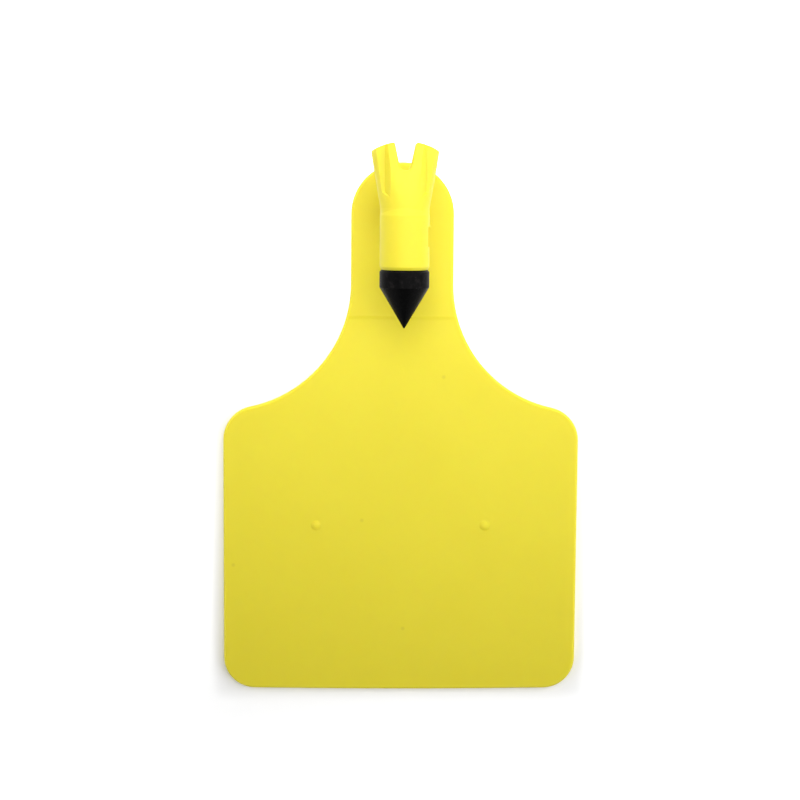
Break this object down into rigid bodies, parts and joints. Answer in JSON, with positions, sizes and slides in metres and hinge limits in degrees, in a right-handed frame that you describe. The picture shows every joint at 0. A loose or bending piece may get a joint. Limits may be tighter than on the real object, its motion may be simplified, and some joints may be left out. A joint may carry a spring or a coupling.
{
  "type": "livestock ear tag",
  "caption": "Flexible one-piece cattle ear tag: a flat panel with a neck, a stem and a forked hollow barrel that carries a hard piercing tip.",
  "frame": {"origin": "on the stem's axis, in the plane of the flat front face that the tag lies on", "axes": "+Y from the panel towards the neck's round end and along the barrel towards its forked tail, +Z out of the back, along the stem, +X to the right with the back up"},
  "size_m": [0.076, 0.1173, 0.0228],
  "materials": {
    "flexible_polyurethane": "satin moulded yellow polyurethane",
    "hard_tip_plastic": "satin black filled nylon"
  },
  "bodies": {
    "root": {"tag_body": "flexible_polyurethane", "piercing_tip": "hard_tip_plastic"}
  },
  "joints": []
}
